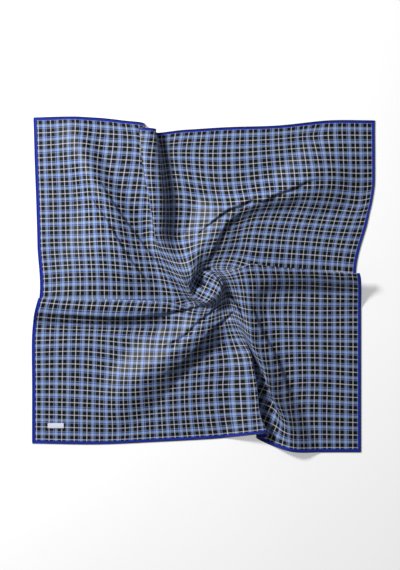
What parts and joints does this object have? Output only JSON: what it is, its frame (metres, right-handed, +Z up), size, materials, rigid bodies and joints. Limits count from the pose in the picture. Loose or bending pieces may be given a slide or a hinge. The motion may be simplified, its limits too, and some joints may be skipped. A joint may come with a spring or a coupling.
{
  "type": "folded silk scarf",
  "caption": "Square checked silk scarf laid out flat and pinched at its middle, with soft pleats and ridges running from a small rosette to its narrow rolled hem.",
  "frame": {"origin": "centre of the bounding box in plan, on the surface the scarf lies on", "axes": "+Z up from the surface, +X towards the pleat that ends at the right hem, +Y towards the top hem in the picture"},
  "size_m": [0.8096, 0.7922, 0.0484],
  "materials": {
    "silk": "silk twill, soft sheen, dark and light blue check with thin pale lines and a blue border",
    "label": "plain white satin tape"
  },
  "bodies": {
    "root": {"silk_square": "silk", "woven_label": "label"}
  },
  "joints": []
}
